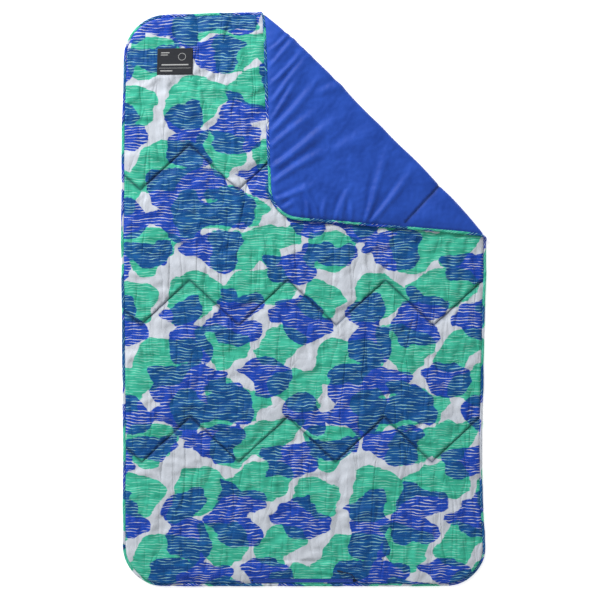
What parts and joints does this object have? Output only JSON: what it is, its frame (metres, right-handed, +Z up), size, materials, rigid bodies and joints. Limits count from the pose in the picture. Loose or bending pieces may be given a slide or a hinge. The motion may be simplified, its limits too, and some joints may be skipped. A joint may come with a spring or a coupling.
{
  "type": "camp blanket",
  "caption": "Quilted insulated blanket lying flat with one corner folded over its face, zigzag quilting, piped edge, woven label and a zipped stuff pocket.",
  "frame": {"origin": "centre of the blanket's footprint, on the surface it lies on", "axes": "+X across the width, +Y along the length towards the end with the folded corner, +Z up through the printed face"},
  "size_m": [1.27, 2.01, 0.0381],
  "materials": {
    "printed_shell": "printed ripstop polyester, soft sheen",
    "plain_shell": "plain woven polyester taffeta, soft sheen",
    "printed_piping": "printed binding fabric",
    "batting": "white synthetic fill",
    "thread": "polyester sewing thread",
    "label": "dark woven label",
    "label_thread": "dark sewing thread",
    "zip_tape": "woven zip tape",
    "zip_coil": "moulded nylon coil",
    "zip_metal": "dark painted metal",
    "cord": "dark braided cord",
    "cord_grip": "soft moulded plastic, ribbed"
  },
  "bodies": {
    "blanket": {"main_face_panel": "printed_shell", "main_back_panel": "plain_shell", "main_batting": "batting", "main_piping": "printed_piping", "bend_face_panel": "printed_shell", "bend_batting": "batting", "bend_back_panel": "plain_shell", "bend_piping_right": "printed_piping", "bend_piping_top": "printed_piping", "quilting_row_1": "thread", "quilting_row_2": "thread", "quilting_row_3": "thread", "woven_label": "label", "label_stitching": "label_thread", "zip_coil_upper": "zip_coil", "zip_tape_upper": "zip_tape", "zip_coil_lower": "zip_coil", "zip_tape_lower": "zip_tape", "zip_top_stop": "zip_metal", "zip_bottom_stop": "zip_metal", "stuff_pocket": "plain_shell"},
    "folded_corner": {"corner_face_panel": "printed_shell", "corner_back_panel": "plain_shell", "corner_batting": "batting", "corner_piping": "printed_piping", "quilting_corner_run": "thread"},
    "slider": {"zip_slider": "zip_metal", "pull_cord": "cord", "cord_grip": "cord_grip"}
  },
  "joints": [
    {"name": "corner_fold", "type": "hinge", "parent": "blanket", "child": "folded_corner", "pos_m": [0.42078, 0.42078, 0.0185], "axis": [-0.7071, 0.7071, 0], "range_deg": [0, 180], "deforming": ["bend_face_panel", "bend_batting", "bend_back_panel", "bend_piping_right", "bend_piping_top"]},
    {"name": "zip_travel", "type": "slide", "parent": "blanket", "child": "slider", "axis": [1, 0, 0], "range_m": [-0.346, 0]}
  ]
}
